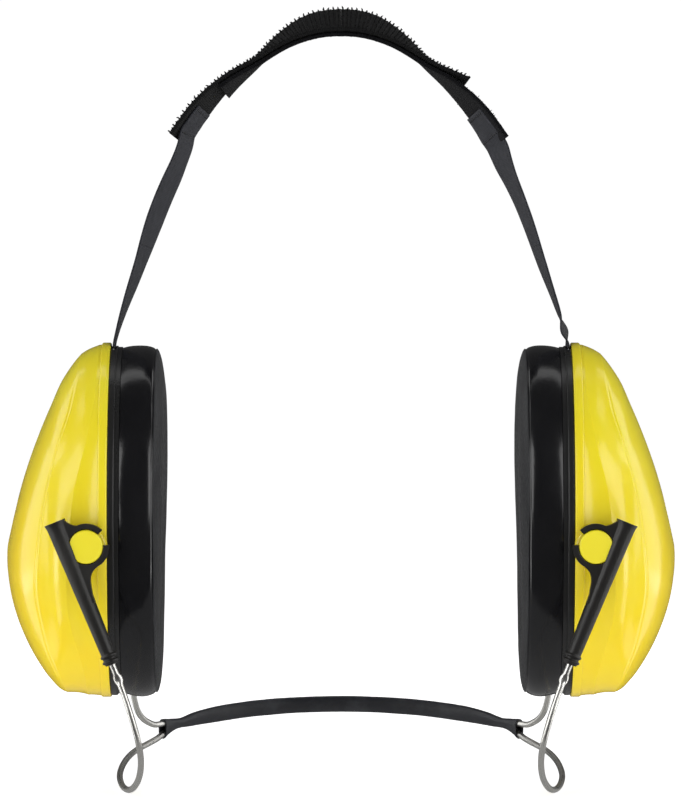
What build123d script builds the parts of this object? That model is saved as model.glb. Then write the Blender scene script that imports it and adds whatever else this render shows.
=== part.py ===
"""Neckband earmuff hearing protector, in millimetres.

X is the ear axis, -Y is the front, +Z is up. The origin is midway between the two ear cushions,
level with the middle of the cups. Each paired piece is modelled on the left side (-X) and mirrored.
"""

import os
from math import cos, radians, sin, tan

from build123d import *

# Cups, seat rings and cushions, measured outward from the middle of the head
CUSHION_FACE_X = 49.4      # where the cushion meets the head
PLATE_X = 62.3             # where the cushion cover meets its back plate
SEAT_X = 63.5              # where the back plate meets the seat ring
RIM_X = 65.5               # where the seat ring meets the cup
CUP_HALF_HEIGHT = 50.4
CUP_HALF_WIDTH = 38.9
SHELL_WALL = 1.9
RIM_LIP_DEPTH = 2.5
RIM_LIP_PROUD = 0.7
SKIRT_DEPTH = 3.0          # the seat ring's skirt reaches this far into the cup
SKIRT_WALL = 1.6
SKIRT_CLEARANCE = 1.7

# Outline of the cup at each depth: depth behind the rim, top, bottom, half width
CUP_SECTIONS = [
    (0.0, 50.4, -50.4, 38.9),
    (7.0, 48.9, -49.8, 38.2),
    (13.4, 41.2, -48.8, 36.4),
    (17.3, 33.0, -45.4, 33.6),
    (20.3, 26.0, -41.4, 30.2),
    (23.2, 18.3, -36.5, 25.9),
    (25.7, 10.4, -31.1, 20.9),
    (27.6, 2.8, -25.7, 15.4),
    (28.9, -3.0, -20.3, 9.6),
    (29.7, -7.0, -14.4, 3.6),
]

OPENING_HALF_WIDTH = 21.5  # ear opening of the cushion
OPENING_HALF_HEIGHT = 33.0
COVER_THICKNESS = 0.8
FOAM_GAP = 0.1
CUSHION_INSET = 0.5        # the cushion stands back this far from the cup's rim
CUSHION_EDGE_RADIUS = 5.0

LINER_NEAR_X = 69.5
LINER_THICKNESS = 7.0
LINER_HALF_WIDTH = 31.0
LINER_HALF_HEIGHT = 40.0
LINER_CENTRE_Z = -2.5

# Pivot of each cup between its two arms
PIVOT_X = 71.05
PIVOT_Z = -6.6
BOSS_RADIUS = 5.5
BOSS_ROOT_Y = 36.4
BOSS_FACE_Y = 39.9
SPIGOT_RADIUS = 1.8
SPIGOT_DEPTH = 1.5
NECK_RADIUS = 3.8
HEAD_RADIUS = 4.77
HEAD_INNER_Y = 43.3
HEAD_OUTER_Y = 44.7

# Arms: a tapered tube with an open ring round the pivot button
ARM_Y = 43.0
ARM_TILT = 22.1            # degrees from upright, leaning outward at the top
ARM_OFFSET = 5.55          # from the pivot axis to the tube's axis
ARM_TOP = 9.6              # along the tube, from the point nearest the pivot
ARM_BOTTOM = -33.1
TUBE_TOP_RADIUS = 2.75
TUBE_BOTTOM_RADIUS = 1.95
MOUTH_RADIUS = 3.2
MOUTH_DEPTH = 3.0
MOUTH_BORE_RADIUS = 2.2
COLLAR_RADIUS = 2.45
COLLAR_RIB = 0.8
COLLAR_PITCH = 1.6
WIRE_CLEARANCE = 0.05
RING_RADIUS = 6.45
RING_BORE_RADIUS = NECK_RADIUS + WIRE_CLEARANCE
RING_RECESS_RADIUS = 4.95
RING_INNER_Y = 40.25
RING_RECESS_Y = 43.2
RING_OUTER_Y = 44.8
RING_GAP_START = 5.0       # degrees above the inboard direction
RING_GAP_END = 45.8

# Spring wires
WIRE_RADIUS = 0.9
WIRE_TOP = -8.0            # along the tube, where the wire ends below the pivot button
WIRE_STRAIGHT_END = -39.5
CRIMP_TOP = -36.4
CRIMP_LENGTH = 2.4
CRIMP_HALF_WIDTH = 1.25
CRIMP_HALF_DEPTH = 0.65
SLEEVE_END_GAP = 0.8
SLEEVE_APPROACH = 5.0      # the wire runs straight for this far before the sleeve

# Route of each wire from the arm's straight to the sleeve, left side
FRONT_WIRE_ROUTE = [
    (-58.3, -44.6, -54.0),
    (-55.6, -43.6, -64.0),
    (-56.2, -33.0, -71.5),
    (-59.2, -18.0, -76.3),
    (-62.6, 2.0, -76.6),
    (-64.4, 22.0, -73.5),
    (-61.8, 42.0, -69.0),
]
REAR_WIRE_ROUTE = [
    (-61.2, 46.0, -51.0),
    (-59.6, 51.0, -58.6),
]

# Sleeve over the two wires behind the neck
SLEEVE_END_X = 52.8
SLEEVE_END_Y = 63.0
SLEEVE_MID_Y = 95.0
FRONT_CORE_END_Z = -64.7
FRONT_CORE_MID_Z = -58.3
REAR_CORE_END_Z = -61.5
REAR_CORE_MID_Z = -56.2
SLEEVE_THICKNESS = 2.8
SLEEVE_END_HEIGHT = 6.0
SLEEVE_MID_HEIGHT = 4.6

# Straps over the crown
CROWN_WIDTH = 22.0
LOOP_THICKNESS = 1.9
HOOK_THICKNESS = 1.9
LAYER_GAP = 0.1
CROWN_OUTLINE = [(-46.2, 108.0), (-29.8, 130.8), (-12.5, 142.6)]
HOOK_FREE_END = (36.0, 127.0)
LOOP_STEP = (-33.0, 122.0)
RIBBON_WIDTH = 16.0
RIBBON_THICKNESS = 0.8
RIBBON_ROUTE = [(-64.6, 48.6), (-64.1, 55.0), (-57.8, 75.0)]
RIBBON_LAP = 9.0           # how far the ribbon laps under the strap
RIBBON_GAP = 0.1
RIBBON_SLOT_CLEARANCE = 0.15
RIBBON_SLOT_DEPTH = 3.0

ARM_AXIS = Vector(-sin(radians(ARM_TILT)), 0, cos(radians(ARM_TILT)))
ARM_ACROSS = Vector(cos(radians(ARM_TILT)), 0, sin(radians(ARM_TILT)))
ARM_FOOT = Vector(-PIVOT_X, -ARM_Y, PIVOT_Z) - ARM_ACROSS * ARM_OFFSET
FLANK_START = Vector(*CROWN_OUTLINE[0])
FLANK_ALONG = (Vector(*CROWN_OUTLINE[1]) - FLANK_START).normalized()
FLANK_OUTWARD = Vector(-FLANK_ALONG.Y, FLANK_ALONG.X)


def oval_plane(x, centre_z=0.0):
    """Upright plane that faces the head, x outward on the left side."""
    return Plane(origin=(-x, 0, centre_z), x_dir=(0, 1, 0), z_dir=(1, 0, 0))


def oval_prism(near_x, far_x, half_width, half_height, centre_z=0.0):
    """Upright oval block from near_x outward to far_x."""
    with BuildPart() as block:
        with BuildSketch(oval_plane(far_x, centre_z)):
            Ellipse(half_width, half_height)
        extrude(amount=far_x - near_x)
    return block.part


def arm_point(along):
    """Point on the front arm's tube axis."""
    return ARM_FOOT + ARM_AXIS * along


def tapered_block(sections):
    """Loft the cup's sections, each given as depth, top, bottom and half width."""
    with BuildPart() as block:
        for depth, top, bottom, half_width in sections:
            with BuildSketch(oval_plane(RIM_X + depth, (top + bottom) / 2)):
                Ellipse(half_width, (top - bottom) / 2)
        loft()
    return block.part


def build_cup_shell():
    """Hollow cup with a proud lip round its rim and a boss at each pivot."""
    cavity = tapered_block(
        (d - SHELL_WALL, top - SHELL_WALL, bottom + SHELL_WALL, half_width - SHELL_WALL)
        for d, top, bottom, half_width in CUP_SECTIONS[:-1]
    )
    outside = tapered_block(CUP_SECTIONS)
    lip = oval_prism(
        RIM_X,
        RIM_X + RIM_LIP_DEPTH,
        CUP_HALF_WIDTH + RIM_LIP_PROUD,
        CUP_HALF_HEIGHT + RIM_LIP_PROUD,
    )
    with BuildPart() as shell:
        add([outside, lip])
        for side in (-1, 1):
            face = Plane(origin=(-PIVOT_X, side * BOSS_ROOT_Y, PIVOT_Z), z_dir=(0, side, 0))
            with BuildSketch(face):
                Circle(BOSS_RADIUS)
            extrude(amount=BOSS_FACE_Y - BOSS_ROOT_Y)
            tip = Plane(origin=(-PIVOT_X, side * BOSS_FACE_Y, PIVOT_Z), z_dir=(0, side, 0))
            with BuildSketch(tip):
                Circle(SPIGOT_RADIUS)
            extrude(amount=-SPIGOT_DEPTH, mode=Mode.SUBTRACT)
        add(cavity, mode=Mode.SUBTRACT)
    return shell.part


def build_pivot_button():
    """Button with a spigot in the boss, a neck in the arm's ring and a wide head."""
    steps = [
        (SPIGOT_RADIUS, BOSS_FACE_Y - SPIGOT_DEPTH, BOSS_FACE_Y),
        (NECK_RADIUS, BOSS_FACE_Y, HEAD_INNER_Y),
        (HEAD_RADIUS, HEAD_INNER_Y, HEAD_OUTER_Y),
    ]
    with BuildPart() as button:
        for radius, near_y, far_y in steps:
            with BuildSketch(Plane(origin=(-PIVOT_X, -near_y, PIVOT_Z), z_dir=(0, -1, 0))):
                Circle(radius)
            extrude(amount=far_y - near_y)
        outer_face = button.faces().sort_by(Axis.Y)[0]
        fillet(outer_face.edges(), radius=0.5)
    return button.part


def build_seat_ring():
    """Ring on the cup's rim, with a skirt inside the cup and a slot for the ribbon."""
    skirt_end = RIM_X + SKIRT_DEPTH
    skirt_width = CUP_HALF_WIDTH - SHELL_WALL - SKIRT_CLEARANCE
    skirt_height = CUP_HALF_HEIGHT - SHELL_WALL - SKIRT_CLEARANCE
    flange = oval_prism(SEAT_X, RIM_X, CUP_HALF_WIDTH - 0.4, CUP_HALF_HEIGHT - 0.4)
    skirt = oval_prism(RIM_X, skirt_end, skirt_width, skirt_height)
    skirt_hole = oval_prism(
        RIM_X, skirt_end, skirt_width - SKIRT_WALL, skirt_height - SKIRT_WALL
    )
    ear_hole = oval_prism(SEAT_X, RIM_X, OPENING_HALF_WIDTH + 1, OPENING_HALF_HEIGHT + 1)
    slot_width = RIBBON_WIDTH + 2 * RIBBON_SLOT_CLEARANCE
    slot_thickness = RIBBON_THICKNESS + 2 * RIBBON_SLOT_CLEARANCE
    with BuildPart() as ring:
        add([flange, skirt])
        add([skirt_hole, ear_hole], mode=Mode.SUBTRACT)
        with Locations((RIBBON_ROUTE[0][0], 0, CUP_HALF_HEIGHT)):
            Box(slot_thickness, slot_width, 2 * RIBBON_SLOT_DEPTH, mode=Mode.SUBTRACT)
    return ring.part


def build_back_plate():
    """Flat stiff ring at the back of the cushion."""
    inset = CUSHION_INSET + 0.4
    disc = oval_prism(PLATE_X, SEAT_X, CUP_HALF_WIDTH - inset, CUP_HALF_HEIGHT - inset)
    hole = oval_prism(PLATE_X, SEAT_X, OPENING_HALF_WIDTH + 0.4, OPENING_HALF_HEIGHT + 0.4)
    with BuildPart() as plate:
        add(disc)
        add(hole, mode=Mode.SUBTRACT)
    return plate.part


def cushion_ring(inset):
    """Soft ring with rounded edges, drawn in from the cushion's surface by inset."""
    outer = oval_prism(
        CUSHION_FACE_X + inset,
        PLATE_X,
        CUP_HALF_WIDTH - CUSHION_INSET - inset,
        CUP_HALF_HEIGHT - CUSHION_INSET - inset,
    )
    hole = oval_prism(
        CUSHION_FACE_X + inset,
        PLATE_X,
        OPENING_HALF_WIDTH + inset,
        OPENING_HALF_HEIGHT + inset,
    )
    with BuildPart() as ring:
        add(outer)
        add(hole, mode=Mode.SUBTRACT)
        face = ring.faces().filter_by(GeomType.PLANE).sort_by(Axis.X)[-1]
        fillet(face.edges(), radius=CUSHION_EDGE_RADIUS - inset)
    return ring.part


def build_cushion_cover():
    """Vinyl skin over the cushion, open at the back where the plate closes it."""
    outside, inside = cushion_ring(0), cushion_ring(COVER_THICKNESS)
    with BuildPart() as cover:
        add(outside)
        add(inside, mode=Mode.SUBTRACT)
    return cover.part


def build_foam_liner():
    """Sound absorbing pad inside the cup."""
    with BuildPart() as liner:
        with BuildSketch(oval_plane(LINER_NEAR_X + LINER_THICKNESS, LINER_CENTRE_Z)):
            Ellipse(LINER_HALF_WIDTH, LINER_HALF_HEIGHT)
        extrude(amount=LINER_THICKNESS)
    return liner.part


def build_front_arm():
    """Tapered tube with a flared mouth, two collar ribs and an open ring."""
    bore = WIRE_RADIUS + WIRE_CLEARANCE
    profile_plane = Plane(origin=ARM_FOOT, x_dir=ARM_ACROSS, z_dir=(0, -1, 0))
    pivot_plane = Plane(
        origin=(-PIVOT_X, -RING_INNER_Y, PIVOT_Z), x_dir=(1, 0, 0), z_dir=(0, -1, 0)
    )
    ribs = [ARM_BOTTOM + 0.6 + step * COLLAR_PITCH for step in range(2)]
    with BuildPart() as arm:
        with BuildSketch(profile_plane):
            with BuildLine():
                Polyline(
                    (bore, ARM_BOTTOM),
                    (TUBE_BOTTOM_RADIUS, ARM_BOTTOM),
                    (TUBE_TOP_RADIUS, ARM_TOP - MOUTH_DEPTH),
                )
                Spline(
                    (TUBE_TOP_RADIUS, ARM_TOP - MOUTH_DEPTH),
                    (MOUTH_RADIUS, ARM_TOP),
                    tangents=((0.02, 1), (0.6, 1)),
                )
                Polyline(
                    (MOUTH_RADIUS, ARM_TOP),
                    (MOUTH_BORE_RADIUS, ARM_TOP),
                    (bore, ARM_TOP - MOUTH_DEPTH),
                    (bore, ARM_BOTTOM),
                )
            make_face()
            for base in ribs:
                with Locations(((bore + COLLAR_RADIUS) / 2, base + COLLAR_RIB / 2)):
                    RectangleRounded(COLLAR_RADIUS - bore, COLLAR_RIB, 0.3)
        revolve(axis=Axis(ARM_FOOT, ARM_AXIS))

        # The ring and the webs that join it to the tube, seen from the front about the pivot
        with BuildSketch(pivot_plane):
            Circle(RING_RADIUS)
            with BuildLine():
                Polyline((-9.0, 6.0), (-6.3, 7.6))
                Spline((-6.3, 7.6), (-3.0, 5.9), (0.6, 6.43))
                Polyline((0.6, 6.43), (0, 0), (3.55, -5.3))
                Spline(
                    (3.55, -5.3), (1.75, -7.2), (1.35, -9.6), (1.78, -12.4), (2.7, -15.4),
                    tangents=((-1.0, -0.8), (0.38, -0.93)),
                )
                Polyline((2.7, -15.4), (1.0, -16.0), (-9.0, 6.0))
            make_face()
            with BuildLine():
                Line((0, 0), (9 * cos(radians(RING_GAP_START)), 9 * sin(radians(RING_GAP_START))))
                Line(
                    (9 * cos(radians(RING_GAP_START)), 9 * sin(radians(RING_GAP_START))),
                    (9 * cos(radians(RING_GAP_END)), 9 * sin(radians(RING_GAP_END))),
                )
                Line((9 * cos(radians(RING_GAP_END)), 9 * sin(radians(RING_GAP_END))), (0, 0))
            make_face(mode=Mode.SUBTRACT)
        extrude(amount=RING_OUTER_Y - RING_INNER_Y)
        with BuildSketch(pivot_plane):
            Circle(RING_BORE_RADIUS)
        extrude(amount=RING_OUTER_Y - RING_INNER_Y, mode=Mode.SUBTRACT)
        with BuildSketch(pivot_plane.offset(RING_RECESS_Y - RING_INNER_Y)):
            Circle(RING_RECESS_RADIUS)
        extrude(amount=RING_OUTER_Y - RING_RECESS_Y, mode=Mode.SUBTRACT)
        with BuildSketch(Plane(origin=arm_point(ARM_BOTTOM), z_dir=ARM_AXIS)):
            Circle(bore)
        extrude(amount=ARM_TOP - ARM_BOTTOM, mode=Mode.SUBTRACT)
    return arm.part


def bend_radii(points):
    """Radius of the arc at each inner point: as large as its two runs allow."""
    radii = []
    for before, here, after in zip(points, points[1:], points[2:]):
        arriving, leaving = Vector(here) - Vector(before), Vector(after) - Vector(here)
        turn = radians(arriving.get_angle(leaving))
        shorter = min(arriving.length, leaving.length)
        radii.append(0.45 * shorter / tan(turn / 2))
    return radii


def wire_along(points):
    """Round wire along straight runs joined by tangent arcs."""
    with BuildPart() as wire:
        with BuildLine() as route:
            FilletPolyline(*points, radius=bend_radii(points))
        start = Plane(origin=route.line @ 0, z_dir=route.line % 0)
        with BuildSketch(start):
            Circle(WIRE_RADIUS)
        sweep(path=route.line)
    return wire.part


def core_arc(end_z, mid_z):
    """Arc behind the neck, from the sleeve's left end to its right end."""
    return Edge.make_three_point_arc(
        (-SLEEVE_END_X, SLEEVE_END_Y, end_z),
        (0, SLEEVE_MID_Y, mid_z),
        (SLEEVE_END_X, SLEEVE_END_Y, end_z),
    )


def build_exposed_wire(side, route, end_z, mid_z):
    """Wire from inside the arm on one side (-1 front, 1 rear) to the sleeve."""
    top, straight_end = arm_point(WIRE_TOP), arm_point(WIRE_STRAIGHT_END)
    points = [(p.X, -side * p.Y, p.Z) for p in (top, straight_end)]
    arc = core_arc(end_z, mid_z)
    sleeve_exit = arc @ 0 - (arc % 0) * SLEEVE_END_GAP
    approach = sleeve_exit - (arc % 0) * SLEEVE_APPROACH
    points += [*route, tuple(approach), tuple(sleeve_exit)]
    bare_wire = wire_along(points)
    crimp = arm_point(CRIMP_TOP)
    with BuildPart() as wire:
        add(bare_wire)
        origin = (crimp.X, -side * crimp.Y, crimp.Z)
        with BuildSketch(Plane(origin=origin, x_dir=ARM_ACROSS, z_dir=-ARM_AXIS)):
            Ellipse(CRIMP_HALF_WIDTH, CRIMP_HALF_DEPTH)
        extrude(amount=CRIMP_LENGTH)
    return wire.part


def build_core(end_z, mid_z, radius=WIRE_RADIUS):
    """Wire inside the sleeve."""
    arc = core_arc(end_z, mid_z)
    with BuildPart() as core:
        with BuildSketch(Plane(origin=arc @ 0, z_dir=arc % 0)):
            Circle(radius)
        sweep(path=arc)
    return core.part


def build_neck_sleeve():
    """Flat sleeve, tallest at its ends, with a bore for each wire."""
    end_z = (FRONT_CORE_END_Z + REAR_CORE_END_Z) / 2
    mid_z = (FRONT_CORE_MID_Z + REAR_CORE_MID_Z) / 2
    arc = core_arc(end_z, mid_z)
    heights = [(0, SLEEVE_END_HEIGHT), (0.5, SLEEVE_MID_HEIGHT), (1, SLEEVE_END_HEIGHT)]
    bore = WIRE_RADIUS + 0.02
    front_bore = build_core(FRONT_CORE_END_Z, FRONT_CORE_MID_Z, bore)
    rear_bore = build_core(REAR_CORE_END_Z, REAR_CORE_MID_Z, bore)
    with BuildPart() as sleeve:
        for place, height in heights:
            along = arc % place
            across = along.cross(Vector(0, 0, 1))
            with BuildSketch(Plane(origin=arc @ place, x_dir=across, z_dir=along)):
                RectangleRounded(SLEEVE_THICKNESS, height, SLEEVE_THICKNESS * 0.45)
        sweep(path=arc, multisection=True)
        add([front_bore, rear_bore], mode=Mode.SUBTRACT)
    return sleeve.part


def crown_band(inner, outer):
    """Band over the crown between two distances outward from its inner outline."""
    corners = [Vector(*corner) for corner in CROWN_OUTLINE]
    corners += [Vector(-corner.X, corner.Y) for corner in reversed(corners)]
    runs = [(end - start).normalized() for start, end in zip(corners, corners[1:])]
    outward = [Vector(-run.Y, run.X) for run in runs]
    reach = (inner + outer) / 2
    middle = []
    for corner, before, after in zip(corners, outward[:1] + outward, outward + outward[-1:]):
        bisector = (before + after).normalized()
        middle.append(corner + bisector * (reach / bisector.dot(before)))
    radii = [radius + reach for radius in bend_radii(corners)]
    with BuildPart() as band:
        with BuildLine(Plane.XZ) as route:
            FilletPolyline(*[(point.X, point.Y) for point in middle], radius=radii)
        start = Plane(origin=route.line @ 0, x_dir=(0, 1, 0), z_dir=route.line % 0)
        with BuildSketch(start):
            Rectangle(CROWN_WIDTH, outer - inner)
        sweep(path=route.line)
    return band.part


def trimmed_band(inner, outer, end, side):
    """Crown band cut off square to the flank at its end, on the left (-1) or right (1)."""
    x, z = end
    beyond = (side * FLANK_ALONG.X, 0, -FLANK_ALONG.Y)
    whole = crown_band(inner, outer)
    with BuildPart() as band:
        add(whole)
        split(bisect_by=Plane(origin=(x, 0, z), z_dir=beyond), keep=Keep.BOTTOM)
    return band.part


def build_ribbon(lift):
    """Left ribbon from the cup's rim to its lap under a strap layer that is lifted by lift."""
    lap_start = FLANK_START + FLANK_OUTWARD * (lift - RIBBON_GAP - RIBBON_THICKNESS / 2)
    lap_end = lap_start + FLANK_ALONG * RIBBON_LAP
    points = [*RIBBON_ROUTE, (lap_start.X, lap_start.Y), (lap_end.X, lap_end.Y)]
    with BuildPart() as ribbon:
        with BuildLine(Plane.XZ) as route:
            FilletPolyline(*points, radius=bend_radii(points))
        start = Plane(origin=route.line @ 0, x_dir=(0, 1, 0), z_dir=route.line % 0)
        with BuildSketch(start):
            Rectangle(RIBBON_WIDTH, RIBBON_THICKNESS)
        sweep(path=route.line)
    return ribbon.part


NODES = {}


def keep(name, part):
    """Label a finished piece and keep it for writing."""
    part.label = name
    NODES[name] = part


def keep_pair(name, part):
    """Keep the left piece and its mirror image."""
    keep("left_" + name, part)
    keep("right_" + name, mirror(part, about=Plane.YZ))


def main():
    """Build every piece and write one STEP file for each."""
    keep_pair("cup_shell", build_cup_shell())
    button, arm = build_pivot_button(), build_front_arm()
    for name, piece in (("pivot_button", button), ("arm", arm)):
        keep_pair("front_" + name, piece)
        keep_pair("rear_" + name, mirror(piece, about=Plane.XZ))
    keep_pair("seat_ring", build_seat_ring())
    keep_pair("cushion_back_plate", build_back_plate())
    keep_pair("cushion_cover", build_cushion_cover())
    keep_pair("cushion_foam", cushion_ring(COVER_THICKNESS + FOAM_GAP))
    keep_pair("foam_liner", build_foam_liner())
    front = build_exposed_wire(-1, FRONT_WIRE_ROUTE, FRONT_CORE_END_Z, FRONT_CORE_MID_Z)
    rear = build_exposed_wire(1, REAR_WIRE_ROUTE, REAR_CORE_END_Z, REAR_CORE_MID_Z)
    keep_pair("front_wire", front)
    keep_pair("rear_wire", rear)
    keep("front_wire_core", build_core(FRONT_CORE_END_Z, FRONT_CORE_MID_Z))
    keep("rear_wire_core", build_core(REAR_CORE_END_Z, REAR_CORE_MID_Z))
    keep("neck_sleeve", build_neck_sleeve())
    hook_lift = LOOP_THICKNESS + LAYER_GAP
    keep("loop_strap", trimmed_band(0, LOOP_THICKNESS, LOOP_STEP, -1))
    keep("hook_strap", trimmed_band(hook_lift, hook_lift + HOOK_THICKNESS, HOOK_FREE_END, 1))
    keep("left_strap_ribbon", build_ribbon(hook_lift))
    keep("right_strap_ribbon", mirror(build_ribbon(0), about=Plane.YZ))
    os.makedirs("parts", exist_ok=True)
    for name, part in NODES.items():
        export_step(part, f"parts/{name}.step")


main()
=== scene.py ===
"""Looks of a neckband earmuff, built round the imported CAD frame.

X is the ear axis, -Y is the front, +Z is up. Shapes are written in millimetres, on the left side, with
the distance from the mid-plane as a positive "outward" number. Shape.piece places them in metres.
"""

from math import cos, pi, radians, sin

import bmesh
import bpy
import numpy as np
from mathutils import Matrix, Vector, noise


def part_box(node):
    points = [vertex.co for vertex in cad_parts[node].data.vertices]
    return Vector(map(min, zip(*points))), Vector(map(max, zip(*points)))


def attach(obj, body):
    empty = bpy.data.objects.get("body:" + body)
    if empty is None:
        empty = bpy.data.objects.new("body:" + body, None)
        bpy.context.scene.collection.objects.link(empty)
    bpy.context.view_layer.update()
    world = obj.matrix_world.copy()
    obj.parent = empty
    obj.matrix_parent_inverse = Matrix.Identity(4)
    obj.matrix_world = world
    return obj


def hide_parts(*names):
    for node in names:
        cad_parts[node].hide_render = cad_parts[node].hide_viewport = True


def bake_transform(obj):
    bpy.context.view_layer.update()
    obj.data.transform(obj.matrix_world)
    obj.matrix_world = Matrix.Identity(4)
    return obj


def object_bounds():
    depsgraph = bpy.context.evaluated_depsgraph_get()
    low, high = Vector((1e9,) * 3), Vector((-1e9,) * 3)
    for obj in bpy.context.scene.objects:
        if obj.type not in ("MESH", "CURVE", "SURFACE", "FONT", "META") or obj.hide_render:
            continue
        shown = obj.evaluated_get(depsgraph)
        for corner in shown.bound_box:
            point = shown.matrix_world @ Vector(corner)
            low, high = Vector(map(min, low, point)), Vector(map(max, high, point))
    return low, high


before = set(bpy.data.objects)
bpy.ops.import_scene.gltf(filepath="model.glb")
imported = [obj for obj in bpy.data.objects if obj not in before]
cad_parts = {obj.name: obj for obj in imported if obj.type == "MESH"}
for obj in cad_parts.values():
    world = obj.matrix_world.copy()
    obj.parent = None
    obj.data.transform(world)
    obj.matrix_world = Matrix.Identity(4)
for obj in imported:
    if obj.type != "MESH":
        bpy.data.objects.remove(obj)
CAD_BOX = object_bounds()

MM = 0.001
LEFT, RIGHT = -1, 1
SIDE_NAMES = {LEFT: "left", RIGHT: "right"}


def node_box(name):
    """Lowest and highest corner of a CAD node in millimetres."""
    return [np.array(corner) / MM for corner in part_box(name)]


# Places read from the frame
COVER_LOW, COVER_HIGH = node_box("left_cushion_cover")
LINER_LOW, LINER_HIGH = node_box("left_foam_liner")
BUTTON_LOW, BUTTON_HIGH = node_box("left_front_pivot_button")
RIM_X = -node_box("left_cup_shell")[1][0]
SEAT_X = -node_box("left_seat_ring")[1][0]
PIVOT_X = -(BUTTON_LOW[0] + BUTTON_HIGH[0]) / 2
PIVOT_Z = (BUTTON_LOW[2] + BUTTON_HIGH[2]) / 2

# Cup shell: depth behind the rim, top, bottom, half width
CUP_SECTIONS = [
    (0.0, 50.4, -50.4, 38.9),
    (7.0, 48.9, -49.8, 38.2),
    (13.4, 41.2, -48.8, 36.4),
    (17.3, 33.0, -45.4, 33.6),
    (20.3, 26.0, -41.4, 30.2),
    (23.2, 18.3, -36.5, 25.9),
    (25.7, 10.4, -31.1, 20.9),
    (27.6, 2.8, -25.7, 15.4),
    (28.9, -3.0, -20.3, 9.6),
    (29.7, -7.0, -14.4, 3.6),
    (29.85, -10.7, -10.7, 0.0),
]
SHELL_WALL = 1.9
LIP_DEPTH = 2.5
LIP_PROUD = 0.32
BOSS_RADIUS = 5.5
BOSS_FACE_Y = 39.9
CUP_TURNS = 300            # points round each row of the cup
LIP_PLACE = 0.42           # section place at which the lip ends
# Two moulded edges run round the cup: height, depth behind the rim
FIRST_EDGE = [(-51, 6.5), (-42, 7.2), (-27, 10.8), (-14, 11.3), (4, 9.9), (11, 8.7), (24, 5.6), (37, 3.6),
              (51, 3.4)]
SECOND_EDGE = [(-51, 12), (-39, 16.5), (-28, 19.2), (-19, 20.5), (-8, 19.8), (6, 17.9), (17, 15.4),
               (32, 11), (51, 8.2)]
# Bands from the lip over both edges to the crown: rows, share of the hollow
CUP_BANDS = [(26, 1), (30, 1), (54, 0.25)]
EDGE_HOLLOW = 0.65         # the surface is drawn in this far between two edges
HOLLOW_SPAN = 8.0          # two edges closer than this are drawn in less
GROOVE_DEPTH = 0.22        # the fine groove along the second edge
GROOVE_WIDTH = 0.45
GROOVE_MIDDLE_Z = -3.0
GROOVE_REACH = 45.0        # the groove fades out this far above and below its middle

# Cushion
CUSHION_WIDTH = (COVER_HIGH[1] - COVER_LOW[1]) / 2
CUSHION_HEIGHT = (COVER_HIGH[2] - COVER_LOW[2]) / 2
OPENING_HALF_WIDTH = 21.5
OPENING_HALF_HEIGHT = CUSHION_HEIGHT - (CUSHION_WIDTH - OPENING_HALF_WIDTH)
CUSHION_TURNS = 264        # points round each row of the cushion
# How far the face stands back from its fullest height, at each height
FACE_BACK = [(-51, 0.3), (-46, 0.5), (-40, 0.65), (-24, 0.7), (-10, 0.65), (4, 0.3), (18, -0.1), (29, -0.2),
             (38, 0.0), (44, 0.25), (51, 0.4)]
CUSHION_SAG = 0.6          # the foam hangs this much lower at the foot of the ring
SEAM_DEPTH = 10.8          # the welded seam, in front of the seat ring
SEAM_ROW = 40              # row of the cushion's mesh where the matt face starts
CLOTH_STEPS = 20
CLOTH_PRESSURE = 3.0
CLOTH_SLACK = 0.02
CLOTH_CAP = 0.25           # the simulation moves no point further than this
CLOTH_SMOOTHING = 45       # passes that pull its small wrinkles taut
LINER_TURNS = 160

# Wires, sleeve and straps
WIRE_RADIUS = 0.9
WIRE_TOP = -8.0            # along the arm's tube
CRIMP_RUN = 29.6           # from the wire's top to the middle of its crimp
CRIMP_HALF_LENGTH = 1.15
CRIMP_WIDER, CRIMP_THINNER = 0.42, 0.30
ARM_TILT = radians(22.1)
ARM_AXIS = np.array([sin(ARM_TILT), 0, cos(ARM_TILT)])
ARM_ACROSS = np.array([-cos(ARM_TILT), 0, sin(ARM_TILT)])
ARM_Y = 43.0
TUBE_OFFSET = 5.55         # from the pivot to the axis of the arm's tube
ARM_FOOT = np.array([PIVOT_X, -ARM_Y, PIVOT_Z]) - ARM_ACROSS * TUBE_OFFSET
WIRE_IN_ARM = (WIRE_TOP, -24.0, -36.0, -39.5)
FRONT_WIRE_ROUTE = [
    (58.3, -44.6, -54.0),
    (55.6, -43.6, -64.0),
    (56.2, -33.0, -71.5),
    (59.2, -18.0, -76.3),
    (62.6, 2.0, -76.6),
    (64.4, 22.0, -73.5),
    (61.8, 42.0, -69.0),
]
REAR_WIRE_ROUTE = [(61.2, 46.0, -51.0), (59.6, 51.0, -58.6)]
SLEEVE_END = (52.8, 63.0)
SLEEVE_MID_Y = 95.0
SLEEVE_ROWS = 420
MOUTH_ROWS = 14            # the sleeve is hollow for this many of its rows at each end
CORE_END_Z = {"front": -64.7, "rear": -61.5}
CORE_MID_Z = {"front": -58.3, "rear": -56.2}
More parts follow.
